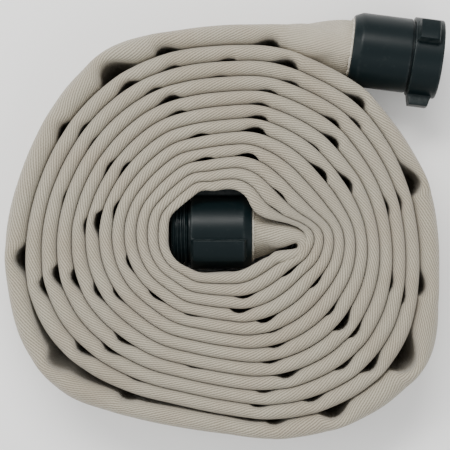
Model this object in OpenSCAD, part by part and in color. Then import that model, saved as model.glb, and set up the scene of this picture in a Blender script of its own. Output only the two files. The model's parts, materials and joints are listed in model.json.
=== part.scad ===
// Rolled lay-flat fire hose, 1 1/2 in, 25 ft, double jacket, with a threaded coupling pair.
// The roll lies on its side. +Z is the roll's axis, and Z = 0 is the floor it lies on.

/* [Hose] */
// Flat width of the hose, which is the height of the roll
flat_w = 66; // [64:0.5:68]
// Outside radius of the hose where it is round, inside a coupling
hose_r = 22.6; // [22.5:0.05:22.65]
// Thickness of the outer woven jacket
outer_wall = 0.8; // [0.7:0.05:1.0]
// Thickness of the inner woven jacket
inner_wall = 0.6; // [0.5:0.05:0.8]
// Thickness of the rubber liner
liner_wall = 0.5; // [0.4:0.05:0.5]

/* [Roll] */
// Gap between one turn and the next
turn_gap = 0.4; // [0.3:0.05:0.6]
// Thickness of the hose where it doubles back beside the male coupling
fold_t = 7.2; // [6.8:0.1:7.6]

/* [Couplings] */
// Radius of the waterway through both couplings
water_r = 19.05; // [18.8:0.05:19.1]
// Outside radius of both bowls
bowl_r = 28.9; // [28:0.1:29]
// Outside radius of the swivel ring
ring_r = 30.7; // [30.4:0.1:31]
// Radius to the top of the swivel ring's rocker lugs
lug_r = 38.8; // [37:0.1:39]
// Radius to the top of the male coupling's long lugs
male_lug_r = 34; // [33:0.1:34]
// Turn of the swivel ring about its own axis at rest, in degrees
swivel_turn = 0; // [0:5:115]

/* [Threads] */
// Pitch of the hose thread
thread_pitch = 2.822; // [2.7:0.001:2.9]
// Crest radius of the swivel ring's internal thread
nut_crest_r = 23.5; // [23.4:0.05:23.6]
// Crest radius of the male thread
male_crest_r = 25.25; // [25.1:0.05:25.3]
// Depth of both threads
thread_depth = 1.8; // [1.6:0.05:1.85]

/* [Hidden] */

$fn = 96;
eps = 0.05;         // running clearance
layer_gap = 0.15;   // air between the nested layers of the hose
fit = 0.1;          // running clearance of the swivel on its neck

// ---- Where things are ----
roll_c = [-2.37, -6.94];         // centre of the roll; it centres the whole part's box on the Z axis
function from_roll(x, y) = [roll_c.x + x, roll_c.y + y];
female_tail = concat(from_roll(98, 143), 40.4); // axis point at the female coupling's tail end
female_turn = -7.3;                             // its heading from +X, in degrees
male_tail = concat(from_roll(21, 0), 34.2);     // the same for the male coupling, which faces -X
fold_c = from_roll(47, -9.5);                  // centre of the tight fold beside that coupling
fold_r = 6;                                     // radius of the fold, to the middle of the hose
flat_l = 5;                                     // flat stretch after the fold

// ---- The roll's outline ----
// Radii from the roll's centre, every 15 degrees from +X. Turns are counted from the inside out.
step = 15;
per_turn = 360 / step;
core = [ // the inside of the first turn
  56, 34, 27, 29.5, 33.5, 32.5, 31, 32.5, 36.5, 41.5, 44, 41.5,
  39.5, 41.5, 46, 40.5, 33.5, 29.5, 28.5, 30, 33, 35, 40.5, 51.5,
];
body = [ // the outside of the eleventh turn
  148, 145, 143.5, 142.5, 139, 137.5, 134, 135, 137, 138, 139, 141.5,
  146, 151, 151.5, 146, 139, 134.5, 137.5, 146.5, 155, 161, 160.5, 153.5,
];
rim = [ // the outside of the last, looser turn, which ends under the female coupling
  162.5, 163, 160, 153.5, 146.5, 163, 157, 157.5, 164.5, 163.5, 161, 161.5,
  166, 170.5, 175.5, 173, 159.5, 152.5, 153, 162.5, 172, 180.5, 182, 168,
];
sag = 4;                         // how much tighter than evenly the middle turns lie
first = 5;                       // outer end of the coiled stretch, in steps (75 degrees)
last = 12 * per_turn - 2;        // inner end of the coiled stretch, in steps (330 degrees)

function ramp(x) = let (c = max(0, min(1, x))) c * c * (3 - 2 * c);
function polar(r, a) = from_roll(r * cos(a), r * sin(a));
// Outside radius of the hose i steps along it from the outer end.
function face(i) = let (
    k = i % per_turn,
    n = 13 - i / per_turn,
    u = n / 11,
    inner = core[k] + (body[k] - core[k]) * u - sag * 4 * u * (1 - u),
    w = ramp((i - per_turn + 1) / 4)
  ) (1 - w) * rim[k] + w * inner;
function outside(i, d) = polar(face(i) - d, i * step);
function inside(i, d) = polar(face(i + per_turn) + turn_gap + d, i * step);

// Outline of the flat hose as it lies, d in from its faces; over runs it on past both ends.
module run(d, over) {
  arc = [for (a = [-60 : step : 90]) a];
  h = fold_t / 2 - d;
  flat_x = fold_c.x - flat_l - over;
  function past(p, q) = p + (p - q) * over / norm(p - q);
  polygon(concat(
    [past(outside(first, d), outside(first + 1, d))],
    [for (i = [first + 1 : last]) outside(i, d)],
    [for (a = arc) fold_c + (fold_r + h) * [cos(a), sin(a)]],
    [[flat_x, fold_c.y + fold_r + h], [flat_x, fold_c.y + fold_r - h]],
    [for (k = [len(arc) - 1 : -1 : 0]) fold_c + (fold_r - h) * [cos(arc[k]), sin(arc[k])]],
    [for (i = [last : -1 : first + 1]) inside(i, d)],
    [past(inside(first, d), inside(first + 1, d))]
  ));
}

// A box section passed gradually into a round one, as rings of points that share their angles.
sides = 24;
function box_pt(j, hx, hz) = let (a = j * 360 / sides)
  [hx * max(-1, min(1, sqrt(2) * cos(a))), hz * max(-1, min(1, sqrt(2) * sin(a)))];
function ring(c0, u0, hx, hz, c1, u1, r, w) = [for (j = [0 : sides - 1]) let (
    b = box_pt(j, hx, hz),
    a = j * 360 / sides,
    p = [c0.x + u0.x * b.x, c0.y + u0.y * b.x, c0.z + b.y],
    q = [c1.x + u1.x * r * cos(a), c1.y + u1.y * r * cos(a), c1.z + r * sin(a)]
  ) (1 - w) * p + w * q];

// Tube between two stacks of rings, closed at both ends by a flat annulus.
module tube(outer, inner) {
  n = len(outer);
  all = concat([for (r = outer) each r], [for (r = inner) each r]);
  base = n * sides;
  skin = [for (k = [0 : n - 2], j = [0 : sides - 1]) let (
      a = k * sides + j,
      b = k * sides + (j + 1) % sides
    ) each [[a, a + sides, b + sides], [a, b + sides, b]]];
  walls = concat(skin, [for (f = skin) [f[2] + base, f[1] + base, f[0] + base]]);
  e = (n - 1) * sides;
  ends = [for (j = [0 : sides - 1]) let (m = (j + 1) % sides) each [
    [j, m, base + m, base + j],
    [e + m, e + j, base + e + j, base + e + m],
  ]];
  polyhedron(points = all, faces = concat(walls, ends));
}

// One layer of the hose: the coiled stretch, and a passage into each coupling.
module layer(d, wall, r) {
  difference() {
    translate([0, 0, d]) linear_extrude(flat_w - 2 * d) run(d, 0);
    translate([0, 0, d + wall]) linear_extrude(flat_w - 2 * (d + wall)) run(d + wall, 1);
  }
  passage_out(d, wall, r);
  passage_in(d, wall, r);
}

clamp_l = 36;                    // length of hose held inside a coupling
weights = [0.12, 0.35, 0.65, 0.88, 1];

// Passage from a flat end at c0 to a coupling that holds the hose round from c1 to c2. Its wall
// starts as a thinner tongue inside the flat hose's own wall, so that the two join as one solid.
module passage(c0, u0, way, hx, c1, c2, u1, d, wall, r) {
  function box_ring(x, e) = ring(c0 + x * way, u0, hx - e, flat_w / 2 - e, c1, u1, 0, 0);
  function rings(e, rr, tuck) = concat(
    [box_ring(-0.5, e + tuck), box_ring(0.1, e + tuck), box_ring(0.4, e)],
    [for (w = weights) ring(c0 + 0.4 * way, u0, hx - e, flat_w / 2 - e, c1, u1, rr, w)],
    [ring(c0, u0, hx, flat_w / 2, c2, u1, rr, 1)]
  );
  tube(rings(d, r, 0.3 * wall), rings(d + wall, r - wall, -0.3 * wall));
}

module passage_out(d, wall, r) {
  f0 = face(first);
  f1 = face(first + per_turn) + turn_gap;
  a = first * step;
  heading = [cos(female_turn), sin(female_turn), 0];
  passage(concat(polar((f0 + f1) / 2, a), [flat_w / 2]), [cos(a), sin(a)], [1, 0, 0],
    (f0 - f1) / 2, female_tail - 2 * heading, female_tail + clamp_l * heading,
    [-heading.y, heading.x], d, wall, r);
}

module passage_in(d, wall, r) {
  passage([fold_c.x - flat_l, fold_c.y + fold_r, flat_w / 2], [0, -1], [-1, 0, 0],
    fold_t / 2, male_tail + [1, 0, 0], male_tail - [clamp_l, 0, 0], [0, -1], d, wall, r);
}

in_d = outer_wall + layer_gap;
liner_d = in_d + inner_wall + layer_gap;
liner_r = hose_r - liner_d;

module outer_jacket() { color([0.72, 0.68, 0.6]) layer(0, outer_wall, hose_r); }
module inner_jacket() { color([0.8, 0.78, 0.72]) layer(in_d, inner_wall, hose_r - in_d); }
module rubber_liner() { color([0.12, 0.12, 0.12]) layer(liner_d, liner_wall, liner_r); }

// ---- Couplings: turned about their own axis, from the tail end (z = 0) to the thread ----
tail_r = 26;                     // outside radius at the tail end
tail_l = 6.5;                    // length of the tail's chamfer
bore_r = hose_r + eps;
bore_l = 40;                     // depth of the bore that holds the hose
bowl_l = 45.2;                   // length of the female bowl, without its neck
neck_r = 26.9;
neck_end = 55.9;
race_z = 51;                     // middle of the ball race
race_r = 26.95;
ball_r = 2;
ring_z = 46.8;                   // back face of the swivel ring
ring_end = 69.6;                 // open face of the swivel ring
washer_l = 4;
male_l = 47.5;                   // length of the male body, without its thread
thread_l = 15;

module at_female() {
  translate(female_tail) rotate([0, 90, female_turn]) children();
}
module at_male() {
  translate(male_tail) rotate([0, -90, 0]) children();
}

// Ring-shaped V grooves with flat crests, cut outwards from radius r0 or inwards if depth < 0.
module grooves(r0, depth, z0, count) {
  half = thread_pitch * 0.4;
  lap = depth > 0 ? -0.5 : 0.5;
  for (k = [0 : count - 1])
    rotate_extrude() translate([0, z0 + k * thread_pitch]) polygon([
      [r0 + lap, -half - 0.2], [r0 + depth, -0.25], [r0 + depth, 0.25], [r0 + lap, half + 0.2],
    ]);
}

// Lug with an arched top, from radius r0 out to r1, between z0 and z1, chamfered at both ends.
module lug(a, r0, r1, half_w, z0, z1, chamfer) {
  rotate([0, 0, a]) intersection() {
    translate([r0 - 4, -half_w, z0]) cube([r1, 2 * half_w, z1 - z0]);
    rotate_extrude() polygon([
      [r0 - 3, z0 - 1], [r1 - chamfer, z0 - 0.01], [r1, z0 + chamfer / 2],
      [r1, z1 - chamfer], [r0 - 0.5, z1 + 0.8], [r0 - 3, z1 + 0.8],
    ]);
  }
}

module female_bowl() {
  color([0.09, 0.11, 0.12]) at_female() difference() {
    rotate_extrude() polygon([
      [bore_r, 0], [tail_r, 0], [bowl_r, tail_l], [bowl_r, bowl_l - 0.8], [bowl_r - 0.8, bowl_l],
      [neck_r, bowl_l], [neck_r, neck_end], [water_r, neck_end], [water_r, bore_l],
      [bore_r, bore_l],
    ]);
    ball_race();
  }
}

module ball_race() {
  rotate_extrude() translate([race_r, race_z]) circle(r = ball_r + eps);
}

module swivel_ring() {
  color([0.09, 0.11, 0.12]) at_female() rotate([0, 0, swivel_turn]) difference() {
    union() {
      rotate_extrude() polygon([
        [neck_r + fit, ring_z], [ring_r - 1, ring_z], [ring_r, ring_z + 1],
        [ring_r, ring_end - 1.6], [ring_r - 1.6, ring_end], [nut_crest_r + 2, ring_end],
        [nut_crest_r, ring_end - 2], [nut_crest_r, neck_end + 0.1 + washer_l + 0.1],
        [nut_crest_r + 2.2, neck_end + 0.1 + washer_l + 0.1], [nut_crest_r + 2.2, neck_end + 0.1],
        [neck_r + fit, neck_end + 0.1],
      ]);
      for (a = [30, 150, 270]) lug(a, ring_r, lug_r, 9.4, ring_z + 1.1, 66, 3);
    }
    ball_race();
    grooves(nut_crest_r, thread_depth, neck_end + washer_l + 2.3, 2);
    plug_hole(plug_r);
  }
}

plug_r = 2.3;
plug_a = 90;                     // side of the ring that the plug is on
module plug_hole(r) {
  rotate([0, 0, plug_a]) translate([race_r, 0, race_z]) rotate([0, 90, 0]) cylinder(r = r, h = 8);
}

module ball_race_plug() {
  color([0.5, 0.5, 0.52]) at_female() rotate([0, 0, swivel_turn + plug_a])
    translate([race_r + ball_r + 0.15, 0, race_z]) rotate([0, 90, 0])
      cylinder(r = plug_r - eps, h = 1.3);
}

balls = 36;
module swivel_balls() {
  color([0.75, 0.76, 0.78]) at_female()
    for (k = [0 : balls - 1])
      rotate([0, 0, (k + 0.5) * 360 / balls]) translate([race_r, 0, race_z]) sphere(r = ball_r);
}

module hose_washer() {
  color([0.05, 0.05, 0.05]) at_female() translate([0, 0, neck_end + 0.15])
    washer(water_r + 0.6, nut_crest_r + 2.15, washer_l);
}

module washer(r0, r1, h) {
  difference() {
    cylinder(r = r1, h = h);
    translate([0, 0, -1]) cylinder(r = r0, h = h + 2);
  }
}

module expansion_ring() {
  color([0.72, 0.55, 0.25]) translate([0, 0, 1.5])
    washer(water_r, liner_r - liner_wall - 0.25, bore_l - 2);
}

module tail_gasket() {
  color([0.05, 0.05, 0.05]) translate([0, 0, clamp_l + 0.1])
    washer(liner_r - liner_wall - 0.15, bore_r - eps, bore_l - clamp_l - 0.15);
}

module female_expansion_ring() { at_female() expansion_ring(); }
module female_tail_gasket() { at_female() tail_gasket(); }
module male_expansion_ring() { at_male() expansion_ring(); }
module male_tail_gasket() { at_male() tail_gasket(); }

module male_body() {
  end = male_l + thread_l;
  color([0.09, 0.11, 0.12]) at_male() difference() {
    union() {
      rotate_extrude() polygon([
        [bore_r, 0], [tail_r, 0], [bowl_r, tail_l], [bowl_r, male_l - 1], [bowl_r - 1, male_l],
        [male_crest_r - 2.2, male_l], [male_crest_r - 2.2, male_l + 2],
        [male_crest_r, male_l + 3.2], [male_crest_r, end - 2.3], [male_crest_r - 2.3, end],
        [water_r, end], [water_r, bore_l], [bore_r, bore_l],
      ]);
      for (a = [-27, 93, 213]) lug(a, bowl_r, male_lug_r, 9.4, 5, male_l - 0.2, 2.5);
    }
    grooves(male_crest_r, -thread_depth, male_l + 5.2, 3);
  }
}

outer_jacket();
inner_jacket();
rubber_liner();
female_bowl();
female_expansion_ring();
female_tail_gasket();
swivel_ring();
swivel_balls();
ball_race_plug();
hose_washer();
male_body();
male_expansion_ring();
male_tail_gasket();
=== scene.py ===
"""Rolled lay-flat fire hose with its two couplings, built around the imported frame.

All sizes in the classes are in millimetres. `metres` turns them into scene units when a mesh is made.
"""
import json
import logging
import math
from dataclasses import dataclass
from enum import Enum

import bpy
import numpy as np
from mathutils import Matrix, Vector


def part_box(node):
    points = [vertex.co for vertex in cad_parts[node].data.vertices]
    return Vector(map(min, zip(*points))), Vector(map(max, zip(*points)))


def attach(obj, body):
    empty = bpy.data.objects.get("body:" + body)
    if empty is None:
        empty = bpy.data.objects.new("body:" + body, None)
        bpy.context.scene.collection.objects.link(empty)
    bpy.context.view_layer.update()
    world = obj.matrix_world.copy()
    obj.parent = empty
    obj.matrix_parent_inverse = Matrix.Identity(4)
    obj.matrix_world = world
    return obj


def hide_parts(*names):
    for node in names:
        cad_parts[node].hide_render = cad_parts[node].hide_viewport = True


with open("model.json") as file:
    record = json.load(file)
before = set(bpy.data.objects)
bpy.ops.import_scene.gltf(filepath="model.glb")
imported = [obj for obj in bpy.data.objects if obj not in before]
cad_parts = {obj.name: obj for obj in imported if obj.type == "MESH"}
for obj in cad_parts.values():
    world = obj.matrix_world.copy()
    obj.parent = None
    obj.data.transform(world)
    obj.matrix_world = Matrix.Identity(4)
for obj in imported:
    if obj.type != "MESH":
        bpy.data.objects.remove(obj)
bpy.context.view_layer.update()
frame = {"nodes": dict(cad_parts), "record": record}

MM = 0.001
TURN = 360.0
# degrees between the values of a list of radii
SPACING = 15.0
# distance of the female thread's mount from the coupling's tail end
FEMALE_THREAD_AT = 63.85
LOG = logging.getLogger("fire_hose")
Socket = bpy.types.NodeSocket
# the hose's stations: one array for each value, with a row for each station
Way = dict[str, np.ndarray]


# ---------------------------------------------------------------- small maths


def ramp(x: np.ndarray | float) -> np.ndarray | float:
    """Smooth step: 3x squared minus 2x cubed, held at 0 below 0 and at 1 above 1."""
    c = np.clip(x, 0.0, 1.0)
    return c * c * (3.0 - 2.0 * c)


def spline(values: np.ndarray, at: np.ndarray, periodic: bool) -> np.ndarray:
    """Catmull-Rom curve through evenly spaced values.

    Args:
        values: array of shape (n,) or (n, dims).
        at: places along the curve, counted in values from the first.
        periodic: whether the last value leads back to the first.

    Returns:
        The curve at each place: the cubic whose slope at a value is half the step between its neighbours.
    """
    v = np.asarray(values, float)
    n = len(v)
    base = np.floor(at).astype(int)
    if not periodic:
        base = np.clip(base, 0, n - 2)
    f = at - base
    ids = [base + k for k in (-1, 0, 1, 2)]
    ids = [i % n for i in ids] if periodic else [np.clip(i, 0, n - 1) for i in ids]
    p0, p1, p2, p3 = (v[i] for i in ids)
    if v.ndim > 1:
        f = f[:, None]
    return p1 + 0.5 * f * (p2 - p0 + f * (2 * p0 - 5 * p1 + 4 * p2 - p3 + f * (3 * (p1 - p2) + p3 - p0)))


def waves(at: np.ndarray, seed: int, count: int = 5, longest: float = 1.0) -> np.ndarray:
    """Smooth seeded unevenness between about -1 and 1: a sum of sines of falling length.

    Args:
        at: places, in the same unit as longest.
        seed: seed of the phases.
        count: number of sines.
        longest: wavelength of the first sine.

    Returns:
        One value for each place.
    """
    rng = np.random.default_rng(seed)
    phase = rng.uniform(0, 2 * np.pi, count)
    scale = longest / 1.7 ** np.arange(count)
    weight = 0.75 ** np.arange(count)
    total = (weight * np.sin(2 * np.pi * at[..., None] / scale + phase)).sum(-1)
    return total / weight.sum()


# ---------------------------------------------------------------- meshes


def looped_mesh(name: str, grid: np.ndarray, uv: np.ndarray, attributes: dict[str, np.ndarray] | None = None,
                sharp: float = 40.0) -> bpy.types.Object:
    """Closed surface from a grid of points that joins up with itself in both directions.

    Args:
        name: object name.
        grid: points in millimetres, of shape (rows, columns, 3).
        uv: coordinates in metres, of shape (rows + 1, columns + 1, 2), so that both seams keep their place.
        attributes: further values for each point, by name, of shape (rows, columns).
        sharp: edges that turn by more than this many degrees stay sharp.

    Returns:
        The object, with its faces turned outwards.
    """
    rows, cols = grid.shape[:2]
    r, c = np.meshgrid(np.arange(rows), np.arange(cols), indexing="ij")
    r1, c1 = (r + 1) % rows, (c + 1) % cols
    faces = np.stack([r * cols + c, r * cols + c1, r1 * cols + c1, r1 * cols + c], -1).reshape(-1, 4)
    corners = np.stack([uv[r, c], uv[r, c + 1], uv[r + 1, c + 1], uv[r + 1, c]], 2).reshape(-1, 4, 2)
    points = grid.reshape(-1, 3) * MM
    a, b, d = points[faces[:, 0]], points[faces[:, 1]], points[faces[:, 3]]
    e = points[faces[:, 2]]
    volume = (np.cross(a, b) * e).sum() + (np.cross(a, e) * d).sum()
    if volume < 0:
        faces, corners = faces[:, ::-1], corners[:, ::-1]
    mesh = bpy.data.meshes.new(name)
    mesh.from_pydata(points.tolist(), [], faces.tolist())
    layer = mesh.uv_layers.new(name="surface")
    layer.data.foreach_set("uv", corners.reshape(-1).astype(np.float32))
    for key, values in (attributes or {}).items():
        kept = mesh.attributes.new(key, "FLOAT", "POINT")
        kept.data.foreach_set("value", values.reshape(-1).astype(np.float32))
    mesh.shade_smooth()
    mesh.set_sharp_from_angle(angle=math.radians(sharp))
    piece = bpy.data.objects.new(name, mesh)
    bpy.context.scene.collection.objects.link(piece)
    return piece


def rounded(points: list[tuple[float, float, float]], facets: int = 5) -> np.ndarray:
    """Closed outline with its corners rounded off.

    Args:
        points: (r, a, radius) for each corner in order; radius 0 keeps the corner.
        facets: pieces in each rounded corner.

    Returns:
        Points of shape (n, 2). A corner becomes the quadratic curve between the two places on its sides that
        are `radius` away from it.
    """
    out = []
    n = len(points)
    for k, (r, a, radius) in enumerate(points):
        here = np.array([r, a])
        if radius <= 0:
            out.append(here[None])
            continue
        before = np.array(points[k - 1][:2]) - here
        after = np.array(points[(k + 1) % n][:2]) - here
        p = here + before / np.linalg.norm(before) * radius
        q = here + after / np.linalg.norm(after) * radius
        t = np.linspace(0, 1, facets + 1)[:, None]
        out.append((1 - t) ** 2 * p + 2 * t * (1 - t) * here + t**2 * q)
    return np.vstack(out)


def refined(outline: np.ndarray, longest: float) -> np.ndarray:
    """Closed outline with its sides cut into pieces no longer than `longest`, at even distances.

    Args:
        outline: corners of shape (n, 2).
        longest: greatest length of a piece.

    Returns:
        Points of shape (m, 2), the corners among them.
    """
    out = []
    for p, q in zip(outline, np.roll(outline, -1, axis=0)):
        parts = max(1, int(np.ceil(np.linalg.norm(q - p) / longest)))
        out.append(p + (q - p) * np.linspace(0, 1, parts, endpoint=False)[:, None])
    return np.vstack(out)


# ---------------------------------------------------------------- finishes


class Shader:
    """A material under construction: a Principled surface and short ways to add nodes to it."""

    def __init__(self, name: str) -> None:
        """Makes an empty material with a Principled surface."""
        self.material = bpy.data.materials.new(name)
        self.material.use_nodes = True
        self.tree = self.material.node_tree
        self.surface = self.tree.nodes["Principled BSDF"]

    def node(self, kind: str, **settings: object) -> bpy.types.Node:
        """Adds a node and sets its properties.

        Args:
            kind: the node's type in Blender.
            settings: its properties by name.

        Returns:
            The node.
        """
        made = self.tree.nodes.new(kind)
        for key, value in settings.items():
            setattr(made, key, value)
        return made

    def link(self, source: Socket | float, target: Socket) -> None:
        """Joins a socket to another, or sets the target to a number.

        Args:
            source: an output socket or a number.
            target: the input socket.
        """
        if isinstance(source, Socket):
            self.tree.links.new(source, target)
        else:
            target.default_value = source

    def math(self, operation: str, *values: Socket | float) -> Socket:
        """Adds a Math node.

        Args:
            operation: what it works out.
            values: sockets or numbers for its inputs, in order.

        Returns:
            The result's socket.
        """
        made = self.node("ShaderNodeMath", operation=operation)
        for k, value in enumerate(values):
            self.link(value, made.inputs[k])
        return made.outputs[0]

    def mix(self, factor: Socket | float, a: object, b: object,
            blend: str = "MIX") -> Socket:
        """Mixes two colours.

        Args:
            factor: share of b.
            a, b: sockets or (r, g, b) colours.
            blend: blend mode.

        Returns:
            The colour's socket.
        """
        made = self.node("ShaderNodeMix", data_type="RGBA", blend_type=blend)
        self.link(factor, made.inputs["Factor"])
        for value, socket in ((a, made.inputs[6]), (b, made.inputs[7])):
            if isinstance(value, Socket):
                self.tree.links.new(value, socket)
            else:
                socket.default_value = (*value, 1.0)
        return made.outputs[2]

    def noise(self, vector: Socket, scale: float, detail: float = 3.0,
              rough: float = 0.5) -> Socket:
        """Adds a noise texture.

        Args:
            vector: coordinates in metres.
            scale: features in a metre.
            detail: octaves.
            rough: how much each octave counts beside the one before.

        Returns:
            The value's socket.
        """
        made = self.node("ShaderNodeTexNoise")
        self.link(vector, made.inputs["Vector"])
        made.inputs["Scale"].default_value = scale
        made.inputs["Detail"].default_value = detail
        made.inputs["Roughness"].default_value = rough
        return made.outputs["Fac"]

    def spread(self, value: Socket, low: float, high: float, to_low: float = 0.0,
               to_high: float = 1.0) -> Socket:
        """Stretches one range of values to another, and holds the ends.

        Args:
            value: the value.
            low, high: the range that it comes from.
            to_low, to_high: the range that it goes to.

        Returns:
            The result's socket.
        """
        made = self.node("ShaderNodeMapRange", clamp=True)
        for k, v in enumerate((value, low, high, to_low, to_high)):
            self.link(v, made.inputs[k])
        return made.outputs[0]

    def coordinates(self, socket: str) -> Socket:
        """The Object or UV output of a Texture Coordinate node."""
        return self.node("ShaderNodeTexCoord").outputs[socket]

    def attribute(self, name: str) -> Socket:
        """A value stored on the mesh."""
        return self.node("ShaderNodeAttribute", attribute_name=name).outputs["Fac"]

    def bump(self, height: Socket, distance: float, strength: float = 1.0) -> None:
        """Raises the surface in shading.

        Args:
            height: the height's socket.
            distance: what a height of 1 comes to, in metres.
            strength: strength of the effect.
        """
        made = self.node("ShaderNodeBump")
        made.inputs["Distance"].default_value = distance
        made.inputs["Strength"].default_value = strength
        self.link(height, made.inputs["Height"])
        self.link(made.outputs["Normal"], self.surface.inputs["Normal"])

    def set(self, **values: float) -> None:
        """Sets shader sockets: the name is the socket's, with _ for a space."""
        for key, value in values.items():
            self.surface.inputs[key.replace("_", " ")].default_value = value


@dataclass(frozen=True)
class Weave:
    """Woven jacket: twill ribs that climb round the hose, with the picks of the weft across them."""

    name: str
    thread: tuple[float, float, float]
    # painted shade: the darker colour laid into the low parts of the twill ribs
    valley_painted_shade: tuple[float, float, float]
    blush: tuple[float, float, float]
    grime: tuple[float, float, float] = (0.74, 0.71, 0.64)
    pitch: float = 0.002
    rib_angle: float = 26.0
    pick: float = 0.0026
    depth: float = 0.0006
    stretched: float = 0.10

    def build(self) -> bpy.types.Material:
        """Makes the material.

        The rib phase is (u sin A - v cos A) / pitch, with u along the hose and v round it from its upper
        edge. Picks cross each rib, set off by half a pick from the next.

        Returns:
            The material.
        """
        s = Shader(self.name)
        angle = math.radians(self.rib_angle)
        pitch = self.pitch
        cut = s.node("ShaderNodeSeparateXYZ")
        s.link(s.coordinates("UV"), cut.inputs[0])
        u, v = cut.outputs[0], cut.outputs[1]
        space = s.coordinates("Object")
        waver = s.math("MULTIPLY", s.math("SUBTRACT", s.noise(space, 160.0, 3.0), 0.5), 0.6)
        phase = s.math("SUBTRACT", s.math("MULTIPLY", u, math.sin(angle) / pitch),
                       s.math("MULTIPLY", v, math.cos(angle) / pitch))
        phase = s.math("ADD", phase, waver)
        rib = s.math("MULTIPLY_ADD", s.math("COSINE", s.math("MULTIPLY", phase, 2 * math.pi)), 0.5, 0.5)
        rib = s.math("POWER", rib, 0.7)
        along = s.math("ADD", s.math("MULTIPLY", u, math.cos(angle) / self.pick),
                       s.math("MULTIPLY", v, math.sin(angle) / self.pick))
        along = s.math("ADD", along, s.math("MULTIPLY", s.math("FLOOR", phase), 0.5))
        pick = s.math("MULTIPLY_ADD", s.math("COSINE", s.math("MULTIPLY", along, 2 * math.pi)), 0.5, 0.5)
        fuzz = s.noise(space, 1400.0, 2.0, 0.7)
        height = s.math("MULTIPLY", rib, s.math("MULTIPLY_ADD", pick, 0.42, 0.58))
        height = s.math("MULTIPLY_ADD", fuzz, 0.22, height)
        s.bump(height, self.depth, 0.85)
        # painted shade: the colour darkens towards the valley colour where the rib bump is low, at 35 per
        # cent strength near the hose's start, where the jacket is drawn round
        drawn = s.spread(u, self.stretched - 0.035, self.stretched + 0.02, 0.35, 1.0)
        shade = s.math("SUBTRACT", 1.0, s.math("MULTIPLY", drawn, s.spread(height, 0.85, 0.1)))
        colour = s.mix(shade, self.valley_painted_shade, self.thread)
        tint = s.spread(s.noise(space, 26.0, 4.0, 0.6), 0.38, 0.64)
        colour = s.mix(s.math("MULTIPLY", tint, 0.55), colour, self.blush, "MULTIPLY")
        grimy = s.spread(s.noise(space, 14.0, 6.0, 0.7), 0.5, 0.8)
        colour = s.mix(s.math("MULTIPLY", grimy, 0.45), colour, self.grime, "MULTIPLY")
        fleck = s.spread(s.noise(space, 420.0, 2.0, 0.5), 0.74, 0.8)
        colour = s.mix(s.math("MULTIPLY", fleck, 0.6), colour, self.grime, "MULTIPLY")
        s.link(colour, s.surface.inputs["Base Color"])
        s.link(s.spread(fuzz, 0.2, 0.8, 0.78, 0.95), s.surface.inputs["Roughness"])
        s.set(Sheen_Weight=0.25, Sheen_Roughness=0.5)
        s.set(Specular_IOR_Level=0.25)
        return s.material


@dataclass(frozen=True)
class Anodised:
    """Dark hard-anodised alloy: satin, with fine turning marks round the piece and paler worn edges."""

    name: str
    colour: tuple[float, float, float] = (0.0014, 0.0054, 0.0066)
    worn: tuple[float, float, float] = (0.03, 0.036, 0.036)
    roughness: float = 0.36

    def build(self) -> bpy.types.Material:
        """Makes the material. Turning marks are noise stretched along u, the way round the piece.

        Returns:
            The material.
        """
        s = Shader(self.name)
        stretch = s.node("ShaderNodeMapping")
        stretch.inputs["Scale"].default_value = (6.0, 2600.0, 1.0)
        s.link(s.coordinates("UV"), stretch.inputs["Vector"])
        marks = s.noise(stretch.outputs[0], 1.0, 3.0, 0.6)
        space = s.coordinates("Object")
        blotch = s.noise(space, 38.0, 4.0, 0.6)
        scuff = s.spread(s.noise(space, 170.0, 6.0, 0.75), 0.58, 0.72)
        wear = s.math("MULTIPLY", s.attribute("wear"), s.spread(s.noise(space, 260.0, 4.0, 0.7), 0.35, 0.65))
        colour = s.mix(s.math("MULTIPLY", blotch, 0.5), self.colour, tuple(1.6 * c for c in self.colour))
        colour = s.mix(s.math("MULTIPLY", scuff, 0.22), colour, self.worn)
        colour = s.mix(s.math("MULTIPLY", wear, 0.75), colour, self.worn)
        s.link(colour, s.surface.inputs["Base Color"])
        rough = s.math("MULTIPLY_ADD", blotch, 0.14, self.roughness - 0.13)
        rough = s.math("MULTIPLY_ADD", marks, 0.12, rough)
        s.link(rough, s.surface.inputs["Roughness"])
        s.bump(s.math("MULTIPLY_ADD", scuff, -0.25, marks), 0.00002, 0.6)
        s.set(Metallic=0.0, Specular_IOR_Level=0.17)
        return s.material


@dataclass(frozen=True)
class Metal:
    """Bare metal: a fine grain, and a duller film in patches."""

    name: str
    colour: tuple[float, float, float]
    film: tuple[float, float, float]
    roughness: float = 0.3

    def build(self) -> bpy.types.Material:
        """Makes the material.

        Returns:
            The material.
        """
        s = Shader(self.name)
        space = s.coordinates("Object")
        patch = s.spread(s.noise(space, 60.0, 5.0, 0.6), 0.4, 0.65)
        fine = s.noise(space, 900.0, 3.0, 0.6)
        s.link(s.mix(patch, self.colour, self.film), s.surface.inputs["Base Color"])
        s.link(s.math("MULTIPLY_ADD", patch, 0.2, s.math("MULTIPLY_ADD", fine, 0.1, self.roughness)),
               s.surface.inputs["Roughness"])
        s.bump(fine, 0.00002, 0.5)
        s.set(Metallic=1.0)
        return s.material


@dataclass(frozen=True)
class Rubber:
    """Matt rubber with a faint talc bloom."""

    name: str
    colour: tuple[float, float, float]
    bloom: tuple[float, float, float]

    def build(self) -> bpy.types.Material:
        """Makes the material.

        Returns:
            The material.
        """
        s = Shader(self.name)
        space = s.coordinates("Object")
        talc = s.spread(s.noise(space, 120.0, 5.0, 0.7), 0.5, 0.8)
        grain = s.noise(space, 1100.0, 2.0, 0.6)
        s.link(s.mix(s.math("MULTIPLY", talc, 0.4), self.colour, self.bloom), s.surface.inputs["Base Color"])
        s.link(s.spread(grain, 0.2, 0.8, 0.5, 0.68), s.surface.inputs["Roughness"])
        s.bump(grain, 0.00004, 0.5)
        return s.material


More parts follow.
